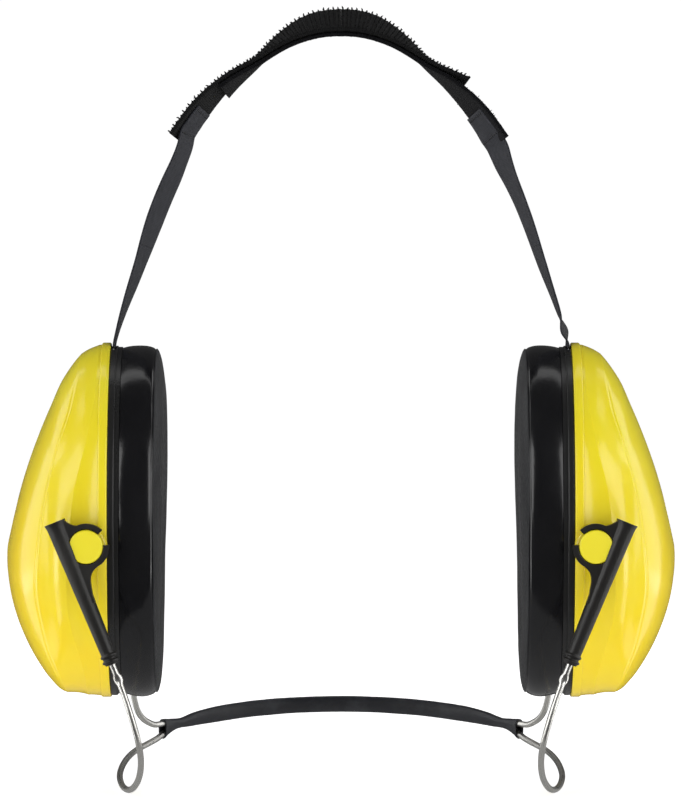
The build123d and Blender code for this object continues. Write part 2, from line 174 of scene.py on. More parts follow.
# Inner face of the crown straps from the middle to one end, and at each place across how far their
# front edge leans outward in degrees
CROWN_TOP = 140.6
CROWN_HALF = [(0.0, CROWN_TOP), (7.7, 139.6), (15.5, 135.7), (24.0, 128.9), (31.0, 123.6), (38.0, 116.5),
              (44.6, 107.2)]
CROWN_LEAN = [(-8, -18.7), (0, -18.7), (8, -17), (16, -10), (24, -1), (33, 8), (41, 13.5), (50, 14)]
FLANK_Z = 108.0
STRAP_WIDTH = 21.0
LAYER = 1.5                # thickness of each strap layer
LAYER_GAP = 0.02
STRAP_SECTION_POINTS = 44
STATION_PITCH = 0.15
RIB_PITCH = 0.78
HOOK_RIB, LOOP_RIB = 0.16, 0.04
BRISTLE_PITCH = 1.15       # the hooks over the outer layer
HOOK_HEIGHT, HOOK_HALF_WIDTH = 0.52, 0.34
FRINGE_PITCH = 0.55        # the fringe on the inner layer's edges
FRINGE_HEIGHT, FRINGE_HALF_WIDTH = 0.3, 0.16
HOOK_FREE_END = 33.0       # the hook layer ends here, and the loop layer at its mirror image
HOOK_LIFT = 1.5            # the free end stands this far off the layer below
STRAP_REACH = 90.0         # beyond both ends of the crown straps
RIBBON_WIDTH = 15.5
RIBBON_THICK = 0.6
RIBBON_LAP = 11.0
RIBBON_FOLD = 3.2          # from the strap's end to where the ribbon meets it
RIBBON_POINTS = [(64.5, 48.9), (64.4, 51.5), (61.0, 62.9), (56.1, 77.2), (50.9, 91.4), (46.9, 101.0),
                 (44.7, 106.6)]
RIBBON_LIFT = {LEFT: 1.15, RIGHT: -0.45}      # from the straps' inner face to the ribbon's lap
RIBBON_LEAN = {
    LEFT: [(48, 0), (52, 0), (58.9, 3), (66.5, 7), (74, 10), (80, 13.5), (86, 16), (97, 16.5), (103, 14.5),
           (109, 14), (120, 13)],
    RIGHT: [(48, 0), (50.5, 0), (54, -9), (58.3, 0), (65, 3), (72, 6), (84, 9), (91, 10.5), (97, 13),
            (103, 18), (107, 20), (112, 17), (120, 14)],
}
RIBBON_SECTION_POINTS = 36
RIBBON_CUT_Z = 78.0
SLOT_Z = 52.0
STITCH_PITCH = 1.7
STITCH_RADIUS = 0.15
CREASE_ANGLE = radians(28)

# Studio, in metres, watts and shares of white
MIDDLE = (0, 0, 0.03)      # what the lights and cards face
CAMERA_DISTANCE = 1.735
CAMERA_HEIGHT = 0.0343
CAMERA_LENS = 273.3
WORLD_STRENGTH = 0.07
BACKDROP_RADIUS = 8.0
BACKDROP_GLOW = 1.02
FLOOR_RADIUS = 5.0
FLOOR_GLOW = 0.62
FLOOR_DROP = 0.0006        # from the lowest point to the floor
BOUNCE_RADIUS = 0.1
BOUNCE_GLOW = 0.3
# At each side, with outward places: place, size, power or glow
SIDE_LIGHTS = {
    "key": ((1.15, -1.15, 0.55), (0.8, 1.1), 7.2),
    "side": ((1.25, -0.4, 0.15), (0.28, 1.3), 3.0),
    "rim": ((1.15, 0.45, 0.4), (0.9, 1.5), 4.9),
}
SIDE_CARDS = {
    "rim_card": ((1.15, 0.5, -0.68), (0.9, 1.15), 1.1),
    "side_card": ((1.25, -0.4, -0.6), (0.3, 1.0), 2.2),
}
TOP_LIGHT = ((0, 0.2, 1.3), (1.6, 0.28), 1.7)
OVERHEAD_FILL = ((0, -0.35, 1.3), (1.6, 0.6), 3.6)


# ---------------------------------------------------------------- curves and meshes

def unit(vectors):
    """Vectors scaled to length one."""
    return vectors / np.maximum(np.linalg.norm(vectors, axis=-1, keepdims=True), 1e-9)


def through(points, at):
    """Smooth curve through the points, read at places counted in points from the first."""
    points, at = np.asarray(points, float), np.asarray(at, float)
    last = len(points) - 1
    span = np.clip(np.floor(at).astype(int), 0, last - 1)
    t = (at - span)[..., None]
    before, here, after, beyond = (points[np.clip(span + k, 0, last)] for k in (-1, 0, 1, 2))
    return 0.5 * (
        2 * here
        + (after - before) * t
        + (2 * before - 5 * here + 4 * after - beyond) * t**2
        + (3 * here - before - 3 * after + beyond) * t**3
    )


def smooth_read(pairs, at):
    """Value at each place on a smooth curve through (place, value) pairs."""
    places = [place for place, _ in pairs]
    counted = np.interp(at, places, range(len(places)))
    return through([(value,) for _, value in pairs], counted)[..., 0]


def rounded_route(points, steps=14):
    """Smooth line from the first point to the last, drawn inside each corner between them."""
    points = [np.asarray(p, float) for p in points]
    halfway = [(a + b) / 2 for a, b in zip(points[1:-1], points[2:-1])]
    starts, ends = [points[0], *halfway], [*halfway, points[-1]]
    line = [points[0][None]]
    for start, corner, end in zip(starts, points[1:-1], ends):
        t = np.linspace(0, 1, steps + 1)[1:, None]
        line.append(start * (1 - t) ** 2 + corner * 2 * t * (1 - t) + end * t**2)
    return np.concatenate(line)


def lengths(line):
    """Distance along the line to each of its points."""
    return np.concatenate([[0], np.cumsum(np.linalg.norm(np.diff(line, axis=0), axis=1))])


def even(line, pitch):
    """The line read again at even steps of about this pitch."""
    reached = lengths(line)
    at = np.linspace(0, reached[-1], max(2, round(reached[-1] / pitch) + 1))
    return np.stack([np.interp(at, reached, line[:, k]) for k in range(line.shape[1])], axis=1)


def tangents(line):
    return unit(np.gradient(line, axis=0))


def carried(line, first):
    """A direction square to the line, carried along it without twist."""
    across = []
    latest = np.asarray(first, float)
    for along in tangents(line):
        latest = unit(latest - along * (latest @ along))
        across.append(latest)
    return np.array(across)


def marked(run, sections):
    """Place along a band, across it and outward from it, at each point of its sections."""
    along = np.broadcast_to(run[:, None], sections.shape[:2])
    return np.stack([along, sections[..., 0], sections[..., 1]], axis=-1)


def swept(line, across, section):
    """One ring of points at each station of the line, its section measured across and outward."""
    along = tangents(line)
    across = unit(across - along * np.sum(across * along, axis=1, keepdims=True))
    outward = np.cross(along, across)
    return line[:, None] + section[..., 0:1] * across[:, None] + section[..., 1:2] * outward[:, None]


def turns(count):
    """Angles of this many even steps round a circle."""
    return np.linspace(0, 2 * pi, count, endpoint=False)


def squared_off(value, power):
    """A sine or cosine raised to a power with its sign kept, which squares off an ellipse."""
    return np.sign(value) * np.abs(value) ** power


def circle(radius, count):
    """Even points round a circle."""
    return radius * np.stack([np.cos(turns(count)), np.sin(turns(count))], axis=1)


def capped(rows):
    """Rows of points, with one more at each end in which all points lie at the end row's middle."""
    first, last = [np.broadcast_to(row.mean(0), row.shape)[None] for row in (rows[0], rows[-1])]
    return np.concatenate([first, rows, last])


class Shape:
    """Points in millimetres and the faces between them, gathered from several parts."""

    def __init__(self):
        self.points, self.faces, self.slots, self.runs, self.count = [], [], [], [], 0

    def add(self, points, faces, slots=None, run=None):
        points = np.asarray(points, float).reshape(-1, 3)
        self.points.append(points)
        self.runs.append(points if run is None else run.reshape(-1, 3))
        self.faces += [tuple(int(i) + self.count for i in face) for face in faces]
        self.slots += [0] * len(faces) if slots is None else list(slots)
        self.count += len(points)

    def grid(self, points, wrap_rows=False, ends=False, slots=None, run=None):
        """Quads between rows of points that go round. With ends, the first and last row are closed."""
        run = points if run is None else run
        if ends:
            points, run = capped(points), capped(run)
        rows, columns = points.shape[:2]
        row, column = np.indices((rows if wrap_rows else rows - 1, columns))
        here, below, after = row * columns, (row + 1) % rows * columns, (column + 1) % columns
        quads = np.stack([here + column, here + after, below + after, below + column], axis=-1)
        self.add(points, quads.reshape(-1, 4), None if slots is None else np.repeat(slots, columns), run)

    def piece(self, name, side, materials):
        """Blender object on the left (-1) or right (1) side, in metres."""
        points = np.concatenate(self.points) * MM
        points[:, 0] *= side
        mesh = bpy.data.meshes.new(name)
        mesh.from_pydata(points.tolist(), [], self.faces)
        for material in materials:
            mesh.materials.append(material)
        mesh.polygons.foreach_set("material_index", self.slots)
        run = mesh.attributes.new("run", "FLOAT_VECTOR", "POINT")
        run.data.foreach_set("vector", np.concatenate(self.runs).astype(np.float32).ravel())
        built = bmesh.new()
        built.from_mesh(mesh)
        bmesh.ops.remove_doubles(built, verts=built.verts, dist=1e-7)
        bmesh.ops.recalc_face_normals(built, faces=built.faces)
        built.to_mesh(mesh)
        built.free()
        return smooth_shaded(linked(name, mesh))


def linked(name, data):
    """New object of this data in the scene."""
    made = bpy.data.objects.new(name, data)
    bpy.context.scene.collection.objects.link(made)
    return made


def mesh_points(piece):
    """The piece's vertices in millimetres."""
    co = np.zeros(len(piece.data.vertices) * 3)
    piece.data.vertices.foreach_get("co", co)
    return co.reshape(-1, 3) / MM


def set_mesh_points(piece, points):
    piece.data.vertices.foreach_set("co", (points * MM).ravel())
    piece.data.update()


def mesh_normals(piece):
    normals = np.zeros(len(piece.data.vertices) * 3)
    piece.data.vertices.foreach_get("normal", normals)
    return normals.reshape(-1, 3)


def ripple(points, size, seed):
    """Smooth noise from -1 to 1 at each point, with waves of about this size."""
    shift = Vector((seed * 7.3, seed * 3.1, seed * 5.7))
    return np.array([noise.noise(Vector(p) / size + shift) for p in points])


def evaluated(piece):
    """Apply every modifier of the piece to its mesh."""
    graph = bpy.context.evaluated_depsgraph_get()
    mesh = bpy.data.meshes.new_from_object(piece.evaluated_get(graph))
    piece.modifiers.clear()
    piece.data = mesh
    return piece


def smooth_shaded(piece):
    piece.data.polygons.foreach_set("use_smooth", [True] * len(piece.data.polygons))
    return piece


# ---------------------------------------------------------------- cups

def cup_row(q, turn, wall=0.0):
    """Points round the cup at section place q, drawn in by the wall: outward, y, z."""
    depth, top, bottom, half_width = through(CUP_SECTIONS, q).T
    middle, half_height = (top + bottom) / 2, (top - bottom) / 2
    half_height, half_width = np.maximum(half_height - wall, 0), np.maximum(half_width - wall, 0)
    return np.stack([RIM_X + depth, -half_width * np.cos(turn), middle + half_height * np.sin(turn)], axis=-1)


def edge_place(edge, turn):
    """Section place at which the cup meets a moulded edge, at each turn round it, found by halving."""
    low, high = np.full(turn.shape, 0.4), np.full(turn.shape, 6.5)
    for _ in range(26):
        middle = (low + high) / 2
        point = cup_row(middle, turn)
        beyond = point[..., 0] - RIM_X > smooth_read(edge, point[..., 2])
        high, low = np.where(beyond, middle, high), np.where(beyond, low, middle)
    return (low + high) / 2


def cup_outside(turn):
    """Rows of points from the lip to the crown of the cup, with a ridge at each moulded edge."""
    lip = np.full(turn.shape, LIP_PLACE)
    crown = np.full(turn.shape, len(CUP_SECTIONS) - 1.0)
    stops = [lip, edge_place(FIRST_EDGE, turn), edge_place(SECOND_EDGE, turn), crown]
    rows, drawn_in = [], []
    for (steps, hollow), start, end in zip(CUP_BANDS, stops, stops[1:]):
        apart = np.linalg.norm(cup_row(end, turn) - cup_row(start, turn), axis=-1)
        depth = EDGE_HOLLOW * hollow * np.clip(apart / HOLLOW_SPAN, 0, 1) ** 2
        for t in (1 - np.cos(pi * np.arange(steps) / steps)) / 2:
            rows.append(cup_row(start + (end - start) * t, turn))
            drawn_in.append(depth * 4 * t * (1 - t))
    rows.append(cup_row(crown, turn))
    drawn_in.append(np.zeros(turn.shape))
    points, drawn_in = np.array(rows), np.array(drawn_in)
    groove_row = points[CUP_BANDS[0][0] + CUP_BANDS[1][0]]
    away = np.linalg.norm(points - groove_row, axis=-1)
    fading = np.clip((GROOVE_REACH - np.abs(groove_row[:, 2] - GROOVE_MIDDLE_Z)) / 6, 0, 1)
    drawn_in += GROOVE_DEPTH * fading * np.exp(-((away / GROOVE_WIDTH) ** 2))
    normals = unit(np.cross(np.gradient(points, axis=0), np.gradient(points, axis=1)))
    normals *= np.sign(np.sum(normals * (points - [RIM_X, 0, -5]), axis=-1, keepdims=True))
    normals[-1] = [1, 0, 0]
    return points - normals * drawn_in[..., None]


def make_cup(side, material):
    """Cup shell: inner skin, rim, proud lip, outer skin and the two pivot bosses."""
    turn = turns(CUP_TURNS)
    inner = [
        cup_row(np.full(turn.shape, q), turn, SHELL_WALL) - [SHELL_WALL, 0, 0]
        for q in np.linspace(len(CUP_SECTIONS) - 1, 0.6, 30)
    ]
    rim = cup_row(np.zeros(turn.shape), turn)
    spread = unit(rim * [0, 1, 1])
    lip_profile = [
        # depth behind the rim, how far it stands proud of the wall
        (0.0, -SHELL_WALL), (0.0, -0.3), (0.08, LIP_PROUD - 0.2), (0.3, LIP_PROUD),
        (LIP_DEPTH - 0.4, LIP_PROUD), (LIP_DEPTH - 0.12, LIP_PROUD - 0.08), (LIP_DEPTH + 0.05, 0.05),
        (LIP_DEPTH + 0.12, -0.12),
    ]
    standing = (0.6 + 0.4 * np.sin(turn))[:, None]      # proudest at the top
    lip = [rim + [depth, 0, 0] + spread * proud * standing for depth, proud in lip_profile]
    shape = Shape()
    shape.grid(np.array([*inner, *lip, *cup_outside(turn)]))
    for front in (-1, 1):
        shape.grid(boss_rows(front), ends=True)
    name = SIDE_NAMES[side]
    cup = shape.piece(f"{name}_cup", side, [material])
    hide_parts(f"{name}_cup_shell")
    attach(cup, f"{name}_cup")


def boss_rows(front):
    """Turned boss at one pivot, with a small fillet at its root."""
    profile = [(5.0, 35.5), (BOSS_RADIUS + 0.9, 37.6), (BOSS_RADIUS + 0.25, 38.2), (BOSS_RADIUS, 38.9),
               (BOSS_RADIUS, BOSS_FACE_Y - 0.3), (BOSS_RADIUS - 0.3, BOSS_FACE_Y), (3.9, BOSS_FACE_Y)]
    rows = []
    for radius, y in profile:
        ring = circle(radius, 64)
        rows.append(np.stack([PIVOT_X + ring[:, 0], np.full(64, front * y), PIVOT_Z + ring[:, 1]], axis=1))
    return np.array(rows)


# ---------------------------------------------------------------- moulded CAD shapes

def moulded(node, name, body, voxel, material, passes=4):
    """A CAD node's shape with the small fillets and soft corners of a moulded part."""
    piece = linked(name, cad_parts[node].data.copy())
    remesh = piece.modifiers.new("skin", "REMESH")
    remesh.mode = "VOXEL"
    remesh.voxel_size = voxel * MM
    soften = piece.modifiers.new("soften", "SMOOTH")
    soften.iterations = passes
    soften.factor = 0.5
    smooth_shaded(evaluated(piece))
    piece.data.materials.clear()
    piece.data.materials.append(material)
    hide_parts(node)
    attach(piece, body)


# ---------------------------------------------------------------- ear cushions

def cushion_rows(turn):
    """Rows of points round the ring, from the back edge over the side, seam, face and opening."""
    profile = [
        # depth in front of the seat ring, inset from the outline, share of the face's setting back
        (0.2, 2.4, 0), (0.0, 1.9, 0), (0.05, 1.5, 0), (0.35, 1.12, 0), (0.85, 0.84, 0), (1.6, 0.56, 0),
        (2.7, 0.3, 0), (4.2, 0.11, 0), (6.2, 0.0, 0), (8.0, 0.04, 0), (9.2, 0.24, 0), (10.1, 0.56, 0),
        (10.55, 0.96, 0), (10.8, 1.02, 0), (11.0, 0.9, 0), (11.3, 1.12, 0.1), (11.7, 1.55, 0.3),
        (12.1, 2.2, 0.55), (12.48, 3.0, 0.75), (12.83, 4.15, 0.9), (13.12, 5.7, 1), (13.32, 7.4, 1),
        (13.4, 9.2, 1), (13.37, 10.4, 1), (13.25, 11.6, 1), (13.0, 13.0, 1), (12.4, 14.7, 0.8),
        (11.4, 15.9, 0.5), (10.0, 16.7, 0.2), (7.8, 17.0, 0), (5.2, 17.05, 0), (2.8, 17.0, 0),
        (1.1, 16.9, 0),
    ]
    fine = through(profile, np.linspace(0, len(profile) - 1, 3 * len(profile) - 2))
    rows = []
    for depth, inset, share in fine:
        hang = CUSHION_SAG * np.exp(-(((depth - 7.0) / 3.5) ** 2)) * np.clip(-np.sin(turn), 0, 1) ** 6
        height = (CUSHION_HEIGHT - inset) * np.sin(turn) - hang
        outward = SEAT_X - depth + smooth_read(FACE_BACK, height) * share
        rows.append(np.stack([outward, -(CUSHION_WIDTH - inset) * np.cos(turn), height], axis=1))
    return np.array(rows)


def swollen(cushion, pinned, grid, seed):
    """Blow the cushion's skin up as slack cloth held along the pinned rows, then pull it taut."""
    start = mesh_points(cushion)
    normals = mesh_normals(cushion)
    set_mesh_points(cushion, start + normals * (0.12 * ripple(start, 9, seed) - 0.15)[:, None])
    group = cushion.vertex_groups.new(name="held")
    group.add([int(i) for i in np.flatnonzero(pinned)], 1.0, "REPLACE")
    cloth = cushion.modifiers.new("cloth", "CLOTH")
    cloth.settings.vertex_group_mass = "held"
    cloth.settings.quality = 4
    cloth.settings.use_pressure = True
    cloth.settings.uniform_pressure_force = CLOTH_PRESSURE
    cloth.settings.shrink_min = -CLOTH_SLACK
    cloth.settings.effector_weights.gravity = 0
    cloth.collision_settings.use_collision = False
    for step in range(1, CLOTH_STEPS + 1):
        bpy.context.scene.frame_set(step)
    evaluated(cushion)
    bpy.context.scene.frame_set(1)
    moved = mesh_points(cushion) - start
    size = np.linalg.norm(moved, axis=1, keepdims=True)
    moved *= np.minimum(1, CLOTH_CAP / np.maximum(size, 1e-6))
    moved[pinned] = 0
    taut = moved.reshape(*grid, 3)
    for _ in range(CLOTH_SMOOTHING):
        beside = [np.roll(taut, step, axis) for step in (1, -1) for axis in (0, 1)]
        taut = (2 * taut + sum(beside)) / 6
    set_mesh_points(cushion, start + taut.reshape(-1, 3))


def make_cushion(side, materials):
    """Vinyl skin over foam, with a welded seam between its glossy side and its matt face."""
    rows = cushion_rows(turns(CUSHION_TURNS))
    shape = Shape()
    shape.grid(rows, wrap_rows=True, slots=np.where(np.arange(len(rows)) < SEAM_ROW, 0, 1))
    name = SIDE_NAMES[side]
    cushion = shape.piece(f"{name}_cushion", side, materials)
    start = mesh_points(cushion)
    outward = np.abs(start[:, 0])
    inside = (start[:, 1] / OPENING_HALF_WIDTH) ** 2 + (start[:, 2] / OPENING_HALF_HEIGHT) ** 2 < 1.1
    pinned = (outward > SEAT_X - 1.3) | ((np.abs(outward - SEAT_X + SEAM_DEPTH) < 0.7) & ~inside)
    swollen(cushion, pinned, rows.shape[:2], 3 + side)
    relief = mesh_points(cushion)
    seed = 5 + 2 * side
    waves = 0.10 * ripple(relief, 14, seed) + 0.05 * ripple(relief * [1, 1, 0.6], 5, seed + 1)
    waves[pinned] *= 0.2
    set_mesh_points(cushion, relief + mesh_normals(cushion) * waves[:, None])
    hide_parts(f"{name}_cushion_cover", f"{name}_cushion_foam")
    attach(cushion, f"{name}_cup")


def make_liner(side, material):
    """Foam pad inside the cup, with rounded edges and an uneven cut face."""
    turn = turns(LINER_TURNS)
    half_width = (LINER_HIGH[1] - LINER_LOW[1]) / 2
    half_height = (LINER_HIGH[2] - LINER_LOW[2]) / 2
    middle_z = (LINER_HIGH[2] + LINER_LOW[2]) / 2
    near, far = -LINER_HIGH[0], -LINER_LOW[0]
    edge = [(near + 0.1, 3.0), (near + 0.3, 1.4), (near + 1.0, 0.5), (near + 2.4, 0.05), (far - 2.0, 0.0),
            (far - 0.8, 0.4), (far, 1.5)]
    flat = [(near, inset) for inset in (29.0, 24.0, 19.0, 15.0, 12.0, 9.5, 7.5, 6.0, 4.5)]
    rows = []
    for outward, inset in flat + edge:
        y, z = -(half_width - inset) * np.cos(turn), middle_z + (half_height - inset) * np.sin(turn)
        rows.append(np.stack([np.full(LINER_TURNS, outward), y, z], axis=1))
    shape = Shape()
    shape.grid(np.array(rows), ends=True)
    name = SIDE_NAMES[side]
    liner = shape.piece(f"{name}_liner", side, [material])
    points = mesh_points(liner)
    lumps = 0.35 * ripple(points, 7, 11 + side) + 0.12 * ripple(points, 2.2, 4 + side)
    set_mesh_points(liner, points + mesh_normals(liner) * lumps[:, None])
    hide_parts(f"{name}_foam_liner")
    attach(liner, f"{name}_cup")


# ---------------------------------------------------------------- wires and sleeve

def sleeve_centre(u, which):
    """Point of a wire inside the sleeve, u from -1 at the left end to 1 at the right."""
    end_x, end_y = SLEEVE_END
    radius = (end_x**2 + (SLEEVE_MID_Y - end_y) ** 2) / (2 * (SLEEVE_MID_Y - end_y))
    widest = np.arcsin(end_x / radius)
    swing = widest * u
    rise = 1 - (1 - np.cos(swing)) / (1 - np.cos(widest))
    z = CORE_END_Z[which] + (CORE_MID_Z[which] - CORE_END_Z[which]) * rise
    return np.stack([radius * np.sin(swing), SLEEVE_MID_Y - radius * (1 - np.cos(swing)), z], axis=-1)


def from_nearest_end(line):
    """Distance along the line from each of its points to the nearer end."""
    return np.minimum(lengths(line), lengths(line)[-1] - lengths(line))


def sleeve_line():
    """Middle line of the sleeve, the half distance between its wires and the way they are stacked."""
    u = np.linspace(-1, 1, SLEEVE_ROWS)
    middle = (sleeve_centre(u, "front") + sleeve_centre(u, "rear")) / 2
    from_end = from_nearest_end(middle)
    apart = smooth_read([(-1, 1.6), (0, 1.6), (3, 1.3), (8, 1.0), (14, 1.0), (26, 1.08), (80, 1.08)],
                        from_end)
    lean = smooth_read([(-1, 6), (0, 6), (4, 30), (9, 58), (15, 34), (27, 6), (80, 0)], from_end)
    along = tangents(middle)
    level = unit(np.cross(along, [0, 0, 1]))
    upright = np.cross(level, along)
    lean = np.radians(lean)[:, None]
    stack = upright * np.cos(lean) + level * np.sin(lean)
    return middle, apart, stack


def make_cores(material):
    """The two wires where they run inside the sleeve."""
    middle, apart, stack = sleeve_line()
    for which, way in (("front", -1), ("rear", 1)):
        line = middle + way * stack * apart[:, None]
        shape = Shape()
        shape.grid(swept(line, carried(line, [0, 0, 1]), circle(WIRE_RADIUS, 16)), ends=True)
        core = shape.piece(f"{which}_core", RIGHT, [material])
        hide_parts(f"{which}_wire_core")
        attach(core, "neckband")


def make_sleeve(material):
    """Flat plastic sleeve shrunk over both wires, flared at its two mouths."""
    middle, apart, stack = sleeve_line()
    wall = smooth_read([(-1, 0.5), (0, 0.5), (3, 0.36), (8, 0.32), (30, 0.42), (80, 0.42)],
                       from_nearest_end(middle))
    tall = (apart + WIRE_RADIUS + wall)[:, None] * squared_off(np.cos(turns(40)), 0.72)
    thick = (WIRE_RADIUS + wall)[:, None] * squared_off(np.sin(turns(40)), 0.8)
    section = np.stack([tall, thick], axis=-1)
    outside, inside = swept(middle, stack, section), swept(middle, stack, section * 0.8)
    left_mouth, right_mouth = inside[:MOUTH_ROWS][::-1], inside[-MOUTH_ROWS:][::-1]
    shape = Shape()
    shape.grid(np.concatenate([left_mouth, outside, right_mouth]), ends=True)
    sleeve = shape.piece("sleeve", RIGHT, [material])
    points = mesh_points(sleeve)
    wobble = 0.05 * ripple(points, 6, 21) + 0.03 * ripple(points, 2, 22)
    set_mesh_points(sleeve, points + mesh_normals(sleeve) * wobble[:, None])
    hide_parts("neck_sleeve")
    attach(sleeve, "neckband")


def wire_route(which):
    """Route of a wire from inside its arm to inside the sleeve."""
    route, back = {"front": (FRONT_WIRE_ROUTE, -1), "rear": (REAR_WIRE_ROUTE, 1)}[which]
    middle, apart, stack = sleeve_line()
    core = (middle + back * stack * apart[:, None])[::-1]
    leaving = unit(core[0] - core[6])
    start = [(ARM_FOOT + ARM_AXIS * along) * [1, -back, 1] for along in WIRE_IN_ARM]
    return [*start, *route, core[0] + leaving * 5.0, core[0] + leaving * 1.0, core[8]]


def make_wire(side, which, material):
    """Spring wire with its crimped stop just below the arm's collar."""
    line = even(rounded_route(wire_route(which)), 0.45)
    run = lengths(line)
    at_crimp = np.exp(-((np.abs(run - CRIMP_RUN) / CRIMP_HALF_LENGTH) ** 4))[:, None]
    turn = turns(24)
    wide = WIRE_RADIUS * (1 + CRIMP_WIDER * at_crimp) * np.cos(turn)
    deep = WIRE_RADIUS * (1 - CRIMP_THINNER * at_crimp) * np.sin(turn)
    marks = marked(run, np.tile(np.stack([np.degrees(turn), turn * 0], axis=-1), (len(run), 1, 1)))
    shape = Shape()
    shape.grid(swept(line, carried(line, ARM_ACROSS), np.stack([wide, deep], axis=-1)), ends=True, run=marks)
    name = SIDE_NAMES[side]
    wire = shape.piece(f"{name}_{which}_spring", side, [material])
    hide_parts(f"{name}_{which}_wire")
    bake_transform(wire)


# ---------------------------------------------------------------- crown straps and ribbons

def rounded_section(half_width, low, high, count):
    """Flat section with rounded edges, across and outward, from low to high."""
    across = half_width * squared_off(np.cos(turns(count)), 0.45)
    lift = (high - low) / 2 * squared_off(np.sin(turns(count)), 0.35)
    return np.stack([across, (low + high) / 2 + lift], axis=1)


def band(line, lean, section):
    """Rings of a flat band whose front edge leans outward by an angle, with its line in the XZ plane."""
    along = tangents(line)
    outward = np.cross(along, [0, 1, 0])
    outward *= np.where(np.sum(outward * line * [1, 0, 1], axis=1) < 0, -1, 1)[:, None]
    lean = np.radians(lean)[:, None]
    back = np.array([0, 1, 0])
    side = back * np.cos(lean) - outward * np.sin(lean)
    face = outward * np.cos(lean) + back * np.sin(lean)
    return line[:, None] + section[..., 0:1] * side[:, None] + section[..., 1:2] * face[:, None]


def on_band(line, lean, here, spots):
    """Places of spots across and outward of a band at one station, and the band's direction there."""
    near = slice(here - 1, here + 2)
    placed = band(line[near], lean[near], np.repeat(spots[None], 3, axis=0))[1]
    return placed, unit(line[here + 1] - line[here - 1])


def crown_line():
    """Line of the crown straps' inner face, from the left end to the right."""
    left_half = [(-x, z) for x, z in CROWN_HALF[:0:-1]]
    points = [(x, 0, z) for x, z in left_half + CROWN_HALF]
    return even(through(points, np.linspace(0, len(points) - 1, 400)), STATION_PITCH)


def strap_layer(name, low, first, last, hooked, material, lifted_end=0.0):
    """Two halves of a strap layer between two places across the head."""
    high = low + LAYER
    line = crown_line()
    x = line[:, 0]
    keep = (x >= first) & (x <= last)
    middle = x[np.argmin(np.abs(x))]
    # The front edge is low over the crown and stands outward at both ends
    lean = smooth_read(CROWN_LEAN, np.abs(x))
    run = lengths(line)
    flat_section = rounded_section(STRAP_WIDTH / 2, low, high, STRAP_SECTION_POINTS)
    for side in (LEFT, RIGHT):
        part = keep & (x * side >= middle * side)
        here, bend, reach = line[part], lean[part], run[part]
        section = np.repeat(flat_section[None], len(here), axis=0)
        rib = (HOOK_RIB if hooked else LOOP_RIB) * (0.5 - 0.5 * np.cos(2 * pi * reach / RIB_PITCH))
        top = section[0, :, 1] > (low + high) / 2 + 0.3 * (high - low)
        section[:, top, 1] += rib[:, None]
        section[:, :, 0] *= (1 + 0.006 * np.sin(reach * 2.1) + 0.006 * np.sin(reach * 5.3 + 1))[:, None]
        to_end = np.clip(1 - (run[keep][-1] - reach) / 9.0, 0, 1)
        section[:, :, 1] += (lifted_end * to_end**2)[:, None]
        shape = Shape()
        shape.grid(band(here, bend, section), ends=True, run=marked(reach, section))
        bristles(shape, here, bend, reach, section, hooked, 31 + side)
        half = shape.piece(f"{SIDE_NAMES[side]}_{name}", RIGHT, [material])
        if side == LEFT:
            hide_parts(name)
        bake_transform(half)


def bristle_faces():
    """Four sides over two levels, and the blunt tip."""
    around = [(k, (k + 1) % 4) for k in range(4)]
    sides = [(level + a, level + b, level + 4 + b, level + 4 + a) for level in (0, 4) for a, b in around]
    return [*sides, (8, 9, 10, 11)]


def bristles(shape, line, lean, reach, section, all_over, seed):
    """Stubby hooks over a layer's outer face and edges, or a short fringe along its edges only."""
    rng = np.random.default_rng(seed)
    top, low = section[:, :, 1].max(axis=1), section[:, :, 1].min(axis=1)
    pitch = BRISTLE_PITCH if all_over else FRINGE_PITCH
    columns = np.linspace(-1, 1, 15 if all_over else 2)
    faces = bristle_faces()
    for number, station in enumerate(np.arange(reach[0] + 0.4, reach[-1] - 0.3, pitch)):
        here = int(np.clip(np.searchsorted(reach, station), 1, len(line) - 2))
        shift = 0.5 * (number % 2) * (columns[1] - columns[0]) if all_over else 0
        for column in columns:
            across = np.clip(column + shift, -1, 1) * STRAP_WIDTH / 2
            edge = abs(across) > STRAP_WIDTH / 2 - 0.3
            size = rng.uniform(0.7, 1.25)
            lean_along = rng.uniform(-0.6, 0.6)
            if all_over:
                lean_out = np.sign(across) * rng.uniform(0.1, 0.5) if edge else rng.uniform(-0.3, 0.3)
                root, height, width = top[here] - 0.2, HOOK_HEIGHT * size, HOOK_HALF_WIDTH
            else:
                lean_out = 1.6 * np.sign(across)
                root = rng.uniform(low[here] + 0.15, top[here] - 0.15)
                height, width = FRINGE_HEIGHT * size, FRINGE_HALF_WIDTH
            spots = bristle_spots(across, root, height, width, lean_out, lean_along)
            placed, along = on_band(line, lean, here, spots[:, :2])
            shape.add(placed + along * spots[:, 2:3], faces)


def bristle_spots(across, root, height, width, lean_out, lean_along):
    """Three levels of a bent, blunt, tapering hook on a band: across, outward and along."""
    spots = []
    for share, size in ((0, 1.0), (0.55, 0.78), (1.0, 0.34)):
        bend = share * share * height
        for turn in (0.25, 0.75, 1.25, 1.75):
            aside, ahead = cos(turn * pi) * width * size, sin(turn * pi) * width * size
            spots.append((across + lean_out * bend + aside, root + share * height, lean_along * bend + ahead))
    return np.array(spots)


